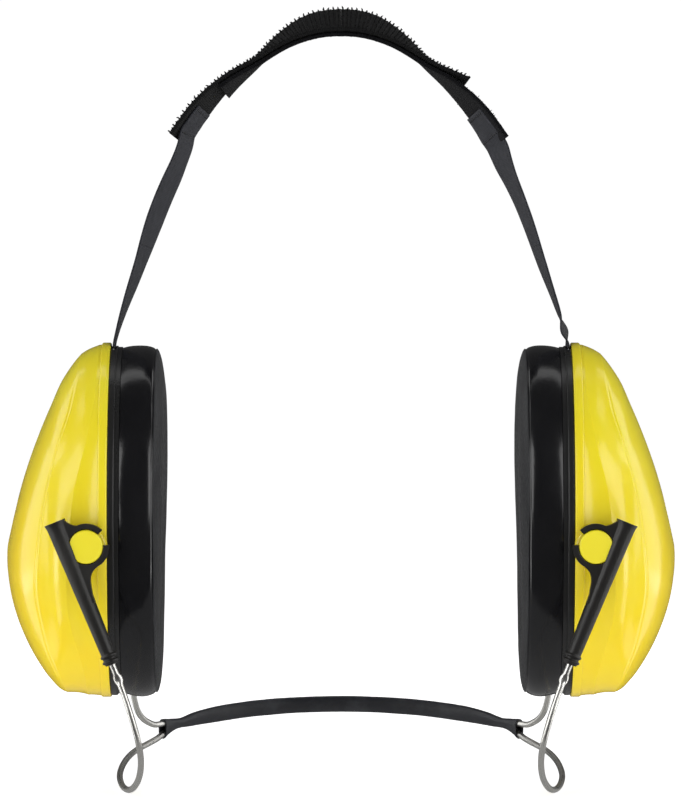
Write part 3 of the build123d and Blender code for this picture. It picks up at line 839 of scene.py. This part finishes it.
def ribbon_line(side):
    """Line of a ribbon from its slot in the seat ring to its cut end under the strap, outward positive."""
    base = crown_line()
    base = base[base[:, 0] <= 0] * [-1, 1, 1]
    along = tangents(base)
    outward = np.stack([along[:, 2], along[:, 1] * 0, -along[:, 0]], axis=1)
    outward *= np.sign(outward[:, :1])
    lap = base + outward * RIBBON_LIFT[side]
    run = lengths(base)
    free = [(x, 0, z) for x, z in RIBBON_POINTS]
    on_strap = [lap[np.searchsorted(run, reach)] for reach in np.linspace(RIBBON_FOLD, RIBBON_LAP, 4)]
    points = [*free, *on_strap]
    return even(through(points, np.linspace(0, len(points) - 1, 600)), 0.6)


def make_ribbon(side, material, thread):
    """Woven ribbon in two lengths, parted at the cut height: the lower from its slot, the upper over its lap
    on the strap.
    """
    line = ribbon_line(side)
    run = lengths(line)
    lean = smooth_read(RIBBON_LEAN[side], line[:, 2])
    section = rounded_section(RIBBON_WIDTH / 2, -RIBBON_THICK / 2, RIBBON_THICK / 2, RIBBON_SECTION_POINTS)
    selvage = np.abs(section[:, 0]) > RIBBON_WIDTH / 2 - 0.8
    section[selvage, 1] *= 1.25
    name = SIDE_NAMES[side]
    cut = int(np.argmin(np.abs(line[:, 2] - RIBBON_CUT_Z)))
    parts = [("lower", slice(0, cut + 1), "arms", "cup", RIBBON_CUT_Z, SLOT_Z),
             ("upper", slice(cut, None), "wires", "arms", FLANK_Z, RIBBON_CUT_Z)]
    for label, part, first, second, start_z, end_z in parts:
        reach = run[part]
        sections = np.repeat(section[None], len(reach), axis=0)
        flutter = 0.12 * np.sin(reach / 5.0)[:, None] * (section[:, 0] / (RIBBON_WIDTH / 2)) ** 2
        sections[..., 1] += flutter
        shape = Shape()
        shape.grid(band(line[part], lean[part], sections), ends=True, run=marked(reach, sections))
        piece = shape.piece(f"{name}_ribbon_{label}", side, [material])
        if label == "upper":
            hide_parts(f"{name}_strap_ribbon")
            make_stitches(side, line, lean, run, thread)
        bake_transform(piece)


def make_stitches(side, line, lean, run, thread):
    """Two rows of thread that sew the ribbon's lap to the strap."""
    shape = Shape()
    ring = circle(STITCH_RADIUS, 8)
    share = np.linspace(0, 1, 7)
    lift = -RIBBON_THICK / 2 - 0.14 * np.sin(pi * share) + 0.03
    for from_end in (1.6, RIBBON_LAP - 2.2):
        here = int(np.searchsorted(run, run[-1] - from_end))
        for across in np.arange(-RIBBON_WIDTH / 2 + 1.4, RIBBON_WIDTH / 2 - 1.2, STITCH_PITCH):
            spots = np.stack([across + share * STITCH_PITCH * 0.72, lift], axis=1)
            centre, along = on_band(line, lean, here, spots)
            face_way = np.cross(along, unit(centre[-1] - centre[0]))
            shape.grid(centre[:, None] + ring[:, :1] * along + ring[:, 1:] * face_way, ends=True)
    stitches = shape.piece(f"{SIDE_NAMES[side]}_stitches", side, [thread])
    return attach(stitches, f"{SIDE_NAMES[side]}_wires")


# ---------------------------------------------------------------- materials

class Finish:
    """A procedural material under construction."""

    def __init__(self, name, colour, roughness, metallic=0.0):
        self.material = bpy.data.materials.new(name)
        self.material.use_nodes = True
        self.tree = self.material.node_tree
        self.shader = self.tree.nodes["Principled BSDF"]
        self.shader.inputs["Base Color"].default_value = (*colour, 1)
        self.shader.inputs["Roughness"].default_value = roughness
        self.shader.inputs["Metallic"].default_value = metallic
        self.place = self.node("TexCoord").outputs["Object"]
        self.height = None

    def node(self, kind, **settings):
        made = self.tree.nodes.new("ShaderNode" + kind)
        for key, value in settings.items():
            setattr(made, key, value)
        return made

    def join(self, source, target):
        self.tree.links.new(source, target)

    def stretched(self, x, y, z, place=None):
        """Object place in metres, or another place, multiplied along each axis."""
        scale = self.node("VectorMath", operation="MULTIPLY")
        scale.inputs[1].default_value = (x, y, z)
        self.join(place or self.place, scale.inputs[0])
        return scale.outputs[0]

    def run(self, along, across):
        """Millimetres along and across a band, stretched by these factors."""
        mark = self.node("Attribute", attribute_name="run")
        return self.stretched(along, across, 1, mark.outputs["Vector"])

    def noise(self, scale, detail=3.0, roughness=0.5, place=None):
        made = self.node("TexNoise")
        made.inputs["Scale"].default_value = scale
        made.inputs["Detail"].default_value = detail
        made.inputs["Roughness"].default_value = roughness
        self.join(place or self.place, made.inputs["Vector"])
        return made.outputs["Fac"]

    def cells(self, scale):
        made = self.node("TexVoronoi")
        made.inputs["Scale"].default_value = scale
        self.join(self.place, made.inputs["Vector"])
        return made.outputs["Distance"]

    def waves(self, scale, place, direction="X", distortion=0.0):
        made = self.node("TexWave", bands_direction=direction)
        made.inputs["Scale"].default_value = scale
        made.inputs["Distortion"].default_value = distortion
        self.join(place, made.inputs["Vector"])
        return made.outputs["Fac"]

    def mapped(self, value, low, high, to_low, to_high):
        """A number carried from one range to another and held inside it."""
        made = self.node("MapRange")
        for name, number in (("From Min", low), ("From Max", high), ("To Min", to_low), ("To Max", to_high)):
            made.inputs[name].default_value = number
        self.join(value, made.inputs["Value"])
        return made.outputs["Result"]

    def maths(self, operation, first, second):
        """Two numbers or sockets put together."""
        made = self.node("Math", operation=operation)
        for socket, value in zip(made.inputs, (first, second)):
            if isinstance(value, (int, float)):
                socket.default_value = value
            else:
                self.join(value, socket)
        return made.outputs[0]

    def colours(self, value, low, high, first, second, most=1.0):
        """Base colour that goes from the first, at most this share of the way, to the second."""
        share = self.mapped(value, low, high, 0, most)
        made = self.node("Mix", data_type="RGBA")
        start, end = [socket for socket in made.inputs if socket.type == "RGBA"]
        start.default_value, end.default_value = (*first, 1), (*second, 1)
        self.join(share, made.inputs["Factor"])
        mixed = next(socket for socket in made.outputs if socket.type == "RGBA")
        self.join(mixed, self.shader.inputs["Base Color"])

    def rough(self, value, low, high, to_low, to_high):
        self.join(self.mapped(value, low, high, to_low, to_high), self.shader.inputs["Roughness"])

    def relief(self, value, strength, distance):
        """Add a bump, distance in metres, under those already there."""
        bump = self.node("Bump")
        bump.inputs["Strength"].default_value = strength
        bump.inputs["Distance"].default_value = distance
        self.join(value, bump.inputs["Height"])
        if self.height is not None:
            self.join(self.height, bump.inputs["Normal"])
        self.height = bump.outputs["Normal"]
        self.join(self.height, self.shader.inputs["Normal"])

    def set(self, **values):
        for name, value in values.items():
            self.shader.inputs[name.replace("_", " ")].default_value = value


def yellow_plastic(name, light, deep, roughness):
    """Glossy moulded ABS with painted shade: a deeper, more orange colour painted low down and furthest out,
    plus a deeper tone at random where the melt flowed.
    """
    finish = Finish(name, light, roughness)
    flow = finish.mapped(finish.noise(26, 4, 0.55, finish.stretched(1, 1, 0.35)), 0.35, 0.7, 0, 0.4)
    split = finish.node("SeparateXYZ")
    finish.join(finish.place, split.inputs[0])
    # Painted shade: the colour deepens towards the bottom of the cup.
    low = finish.mapped(split.outputs["Z"], -0.05, 0.035, 0.6, 0.0)
    # Painted shade: the colour deepens on the outermost part of the cup.
    out = finish.mapped(finish.maths("ABSOLUTE", split.outputs["X"], 0.0), 0.086, 0.095, 0.0, 0.2)
    finish.colours(finish.maths("ADD", finish.maths("ADD", flow, low), out), 0, 1, light, deep)
    finish.rough(finish.noise(160, 4), 0.3, 0.7, roughness - 0.04, roughness + 0.06)
    finish.relief(finish.noise(420, 2), 0.08, 0.0002)
    finish.relief(finish.noise(60, 2), 0.05, 0.0012)
    finish.set(IOR=1.5, Coat_Weight=0.25, Coat_Roughness=0.08)
    finish.set(Subsurface_Weight=0.12, Subsurface_Radius=(1.0, 0.7, 0.1), Subsurface_Scale=0.0025)
    return finish.material


def black_vinyl():
    """Glossy wipe-clean skin on the cushion's side."""
    finish = Finish("vinyl_gloss", (0.005, 0.005, 0.006), 0.16)
    smear = finish.noise(38, 5, 0.6, finish.stretched(1, 1, 0.5))
    finish.colours(smear, 0.4, 0.75, (0.004, 0.004, 0.005), (0.008, 0.008, 0.009))
    finish.rough(smear, 0.35, 0.7, 0.14, 0.26)
    finish.relief(finish.noise(1500, 2), 0.10, 0.00008)
    finish.relief(finish.noise(90, 3), 0.16, 0.0010)
    finish.set(IOR=1.5, Coat_Weight=0.15, Coat_Roughness=0.1)
    return finish.material


def matt_vinyl():
    """Fine-grained skin on the face that touches the head."""
    finish = Finish("vinyl_matt", (0.016, 0.016, 0.018), 0.55)
    grain = finish.cells(1500)
    patches = finish.noise(70, 4)
    finish.colours(patches, 0.3, 0.75, (0.010, 0.010, 0.012), (0.020, 0.021, 0.023))
    finish.rough(grain, 0.0, 0.8, 0.62, 0.44)
    finish.relief(grain, 0.5, 0.00018)
    finish.relief(finish.noise(700, 3), 0.25, 0.00015)
    finish.set(IOR=1.46, Sheen_Weight=0.05, Sheen_Roughness=0.4)
    return finish.material


def black_nylon(name, colour, roughness):
    """Satin moulded nylon with a fine spark-eroded texture and faint scuffs."""
    finish = Finish(name, colour, roughness)
    scuffs = finish.noise(55, 6, 0.65, finish.stretched(1, 1, 0.3))
    worn = tuple(c * 2.2 + 0.006 for c in colour)
    finish.colours(scuffs, 0.55, 0.8, colour, worn, 0.7)
    finish.rough(scuffs, 0.3, 0.75, roughness - 0.07, roughness + 0.1)
    finish.relief(finish.noise(1100, 3), 0.22, 0.00015)
    finish.set(IOR=1.52)
    return finish.material


def spring_steel():
    """Bright nickel-plated wire, drawn lines along it and a little tarnish."""
    finish = Finish("spring_steel", (0.66, 0.65, 0.61), 0.3, metallic=1.0)
    drawn = finish.noise(1.0, 4, 0.6, finish.run(0.06, 0.16))
    tarnish = finish.noise(45, 4, 0.6)
    finish.colours(tarnish, 0.45, 0.75, (0.82, 0.81, 0.77), (0.64, 0.62, 0.57))
    finish.rough(drawn, 0.3, 0.7, 0.22, 0.36)
    finish.relief(drawn, 0.3, 0.00006)
    finish.set(Specular_IOR_Level=0.5)
    return finish.material


def sleeve_plastic():
    """Soft black sleeve, shrunk on, with fine lengthwise lines."""
    finish = Finish("sleeve_black", (0.017, 0.018, 0.021), 0.42)
    lines = finish.noise(240, 4, 0.5, finish.stretched(0.15, 0.15, 1))
    dust = finish.noise(120, 5, 0.65)
    finish.colours(dust, 0.5, 0.8, (0.017, 0.018, 0.023), (0.040, 0.042, 0.050))
    finish.rough(lines, 0.3, 0.7, 0.36, 0.5)
    finish.relief(lines, 0.3, 0.00025)
    finish.set(IOR=1.5)
    return finish.material


def woven_ribbon():
    """Tight twill polyester ribbon with a firmer selvage."""
    finish = Finish("ribbon_weave", (0.020, 0.021, 0.027), 0.62)
    twill = finish.waves(1.0, finish.run(0.55, 0.55), "DIAGONAL", 0.15)
    weft = finish.waves(1.0, finish.run(0.7, 0.0), "X")
    weave = finish.maths("ADD", finish.maths("MULTIPLY", twill, 0.7), finish.maths("MULTIPLY", weft, 0.3))
    shade = finish.noise(0.22, 3, 0.5, finish.run(1, 3))
    tone = finish.maths("ADD", finish.maths("MULTIPLY", weave, 0.4), shade)
    finish.colours(tone, 0.35, 0.95, (0.006, 0.007, 0.011), (0.022, 0.023, 0.031))
    finish.rough(weave, 0, 1, 0.7, 0.55)
    finish.relief(weave, 0.35, 0.00008)
    finish.set(Specular_IOR_Level=0.3, Sheen_Weight=0.06, Sheen_Roughness=0.4)
    return finish.material


def hook_tape(name, colour, light):
    """Coarse black hook-and-loop tape."""
    finish = Finish(name, colour, 0.75)
    threads = finish.waves(1.0, finish.run(0.56, 0.0), "X", 0.4)
    fuzz = finish.noise(850, 4, 0.7)
    mix = finish.maths("MULTIPLY", threads, fuzz)
    finish.colours(mix, 0.1, 0.6, colour, light)
    finish.rough(fuzz, 0.3, 0.7, 0.62, 0.88)
    finish.relief(fuzz, 0.45, 0.0002)
    finish.relief(threads, 0.35, 0.0002)
    finish.set(Specular_IOR_Level=0.14, Sheen_Weight=0.02, Sheen_Roughness=0.5)
    return finish.material


def open_foam():
    """Charcoal open-cell acoustic foam."""
    finish = Finish("liner_foam", (0.05, 0.05, 0.055), 0.95)
    cells = finish.cells(900)
    tone = finish.noise(120, 3)
    finish.colours(tone, 0.3, 0.7, (0.035, 0.035, 0.038), (0.075, 0.075, 0.08))
    finish.rough(cells, 0, 0.7, 0.8, 1.0)
    finish.relief(cells, 1.0, 0.0006)
    return finish.material


def thread_polyester():
    """Twisted black sewing thread."""
    finish = Finish("thread", (0.012, 0.012, 0.014), 0.5)
    twist = finish.waves(700, finish.place, "DIAGONAL")
    finish.rough(twist, 0, 1, 0.4, 0.65)
    finish.relief(twist, 0.5, 0.0001)
    finish.colours(twist, 0, 1, (0.010, 0.010, 0.012), (0.03, 0.03, 0.034))
    return finish.material


def pale_floor():
    """Even, almost white studio floor."""
    finish = Finish("studio_floor", (0.86, 0.86, 0.86), 0.7)
    finish.colours(finish.noise(3, 2), 0, 1, (0.85, 0.85, 0.85), (0.87, 0.87, 0.87))
    far = finish.node("VectorMath", operation="LENGTH")
    finish.join(finish.place, far.inputs[0])
    glow = finish.mapped(far.outputs["Value"], 0.05, 0.7, FLOOR_GLOW, 1.0)
    finish.join(glow, finish.shader.inputs["Emission Strength"])
    finish.set(Emission_Color=(1, 1, 1, 1))
    return finish.material


def glowing(name, strength):
    """Plain white light of a surround or a reflector card."""
    material = bpy.data.materials.new(name)
    material.use_nodes = True
    tree = material.node_tree
    glow = tree.nodes.new("ShaderNodeEmission")
    glow.inputs["Color"].default_value = (1, 1, 1, 1)
    glow.inputs["Strength"].default_value = strength
    tree.links.new(glow.outputs["Emission"], tree.nodes["Material Output"].inputs["Surface"])
    return material


# ---------------------------------------------------------------- studio

def facing_middle(place, front):
    """Turn that points a thing's front, Z or -Z, from its place to the middle."""
    return (Vector(MIDDLE) - Vector(place)).to_track_quat(front, "Y")


def add_stage(name, built, material):
    """Piece of the studio, which is no part of the earmuff."""
    mesh = bpy.data.meshes.new(name)
    built.to_mesh(mesh)
    built.free()
    mesh.materials.append(material)
    thing = linked(name, mesh)
    thing.visible_transmission = False
    return thing


def add_disc(name, radius, height, material):
    built = bmesh.new()
    bmesh.ops.create_circle(built, cap_ends=True, segments=96, radius=radius)
    bmesh.ops.translate(built, verts=built.verts, vec=(0, 0, height))
    return add_stage(name, built, material)


def add_card(name, place, size, glow):
    """Card below the level of the soft boxes, which carries their reflections lower."""
    built = bmesh.new()
    bmesh.ops.create_grid(built, x_segments=1, y_segments=1, size=0.5)
    bmesh.ops.scale(built, verts=built.verts, vec=(*size, 1))
    bmesh.ops.rotate(built, verts=built.verts, matrix=facing_middle(place, "Z").to_matrix())
    bmesh.ops.translate(built, verts=built.verts, vec=place)
    return add_stage(name, built, glowing(name, glow))


def hide_from(thing, *rays):
    """Leave a thing out of what these kinds of ray see."""
    for ray in rays:
        setattr(thing, "visible_" + ray, False)


def make_stage():
    """Pale floor under the wire loops, cards that only mirror and a white surround behind it all."""
    low = CAD_BOX[0].z - FLOOR_DROP
    hide_from(add_disc("floor", FLOOR_RADIUS, low, pale_floor()), "glossy")
    bounce = add_disc("bounce_card", BOUNCE_RADIUS, low + 0.0001, glowing("bounce_card", BOUNCE_GLOW))
    cards = [bounce]
    for side in (LEFT, RIGHT):
        for name, ((out, y, z), size, glow) in SIDE_CARDS.items():
            cards.append(add_card(f"{name}_{side}", (side * out, y, z), size, glow))
    for card in cards:
        hide_from(card, "camera", "diffuse", "shadow")
    dome = bmesh.new()
    bmesh.ops.create_uvsphere(dome, u_segments=48, v_segments=24, radius=BACKDROP_RADIUS)
    hide_from(add_stage("surround", dome, glowing("backdrop", BACKDROP_GLOW)), "diffuse", "glossy", "shadow")


def add_light(name, place, size, power):
    """Rectangular soft box that faces the middle."""
    light = bpy.data.lights.new(name, "AREA")
    light.shape = "RECTANGLE"
    light.size, light.size_y = size
    light.energy = power
    lamp = linked(name, light)
    lamp.location = place
    lamp.rotation_euler = facing_middle(place, "-Z").to_euler()
    return lamp


def make_lights():
    """Tall soft boxes at both sides, a top light, a fill that nothing mirrors and a faint white world."""
    for side in (LEFT, RIGHT):
        for name, ((out, y, z), size, power) in SIDE_LIGHTS.items():
            add_light(f"{name}_{side}", (side * out, y, z), size, power)
    add_light("top", *TOP_LIGHT)
    hide_from(add_light("overhead", *OVERHEAD_FILL), "glossy")
    world = bpy.data.worlds.new("studio")
    bpy.context.scene.world = world
    world.use_nodes = True
    background = world.node_tree.nodes["Background"].inputs
    background["Color"].default_value = (1, 1, 1, 1)
    background["Strength"].default_value = WORLD_STRENGTH


def make_camera():
    """Long lens level with the cushions, as a catalogue photograph is taken."""
    camera = linked("camera", bpy.data.cameras.new("camera"))
    camera.data.lens = CAMERA_LENS
    camera.location = (0, -CAMERA_DISTANCE, CAMERA_HEIGHT)
    camera.rotation_euler = (radians(90), 0, 0)
    bpy.context.scene.camera = camera
    bpy.context.scene.view_settings.view_transform = "Standard"


# ---------------------------------------------------------------- the whole earmuff

def finish_cad_node(name, material):
    """Give a CAD node that stays its material, with crisp edges and smooth round faces."""
    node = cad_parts[name]
    node.data.materials.clear()
    node.data.materials.append(material)
    built = bmesh.new()
    built.from_mesh(node.data)
    for edge in built.edges:
        edge.smooth = len(edge.link_faces) == 2 and edge.calc_face_angle(0) < CREASE_ANGLE
    for face in built.faces:
        face.smooth = True
    built.to_mesh(node.data)
    built.free()


def main():
    """Make the studio and every piece, in the frame's own place."""
    make_camera()
    make_lights()
    make_stage()
    # Each yellow's second colour is its deeper tone. yellow_plastic paints it in as shade low down and
    # furthest out, and at random as melt-flow tone.
    cup_yellow = yellow_plastic("cup_yellow", (0.84, 0.75, 0.026), (0.87, 0.59, 0.014), 0.2)
    button_yellow = yellow_plastic("button_yellow", (0.84, 0.745, 0.022), (0.83, 0.69, 0.017), 0.34)
    vinyl, matt = black_vinyl(), matt_vinyl()
    arm_black = black_nylon("arm_black", (0.011, 0.010, 0.009), 0.42)
    ring_black = black_nylon("ring_black", (0.012, 0.012, 0.012), 0.3)
    steel, sleeve_black, foam = spring_steel(), sleeve_plastic(), open_foam()
    ribbon, thread = woven_ribbon(), thread_polyester()
    hook = hook_tape("hook_tape", (0.003, 0.003, 0.003), (0.009, 0.009, 0.010))
    loop = hook_tape("loop_tape", (0.002, 0.002, 0.003), (0.006, 0.006, 0.008))
    for side in (LEFT, RIGHT):
        name = SIDE_NAMES[side]
        make_cup(side, cup_yellow)
        make_cushion(side, [vinyl, matt])
        make_liner(side, foam)
        moulded(f"{name}_seat_ring", f"{name}_ring", f"{name}_cup", 0.35, ring_black, 2)
        finish_cad_node(f"{name}_cushion_back_plate", ring_black)
        for which in ("front", "rear"):
            arm_name = f"{name}_{which}_arm"
            moulded(arm_name, arm_name + "_moulding", f"{name}_arms", 0.16, arm_black)
            finish_cad_node(f"{name}_{which}_pivot_button", button_yellow)
            make_wire(side, which, steel)
    make_cores(steel)
    make_sleeve(sleeve_black)
    strap_layer("loop_strap", 0.0, -HOOK_FREE_END, STRAP_REACH, False, loop)
    strap_layer("hook_strap", LAYER + LAYER_GAP, -STRAP_REACH, HOOK_FREE_END, True, hook, HOOK_LIFT)
    for side in (LEFT, RIGHT):
        make_ribbon(side, ribbon, thread)


main()
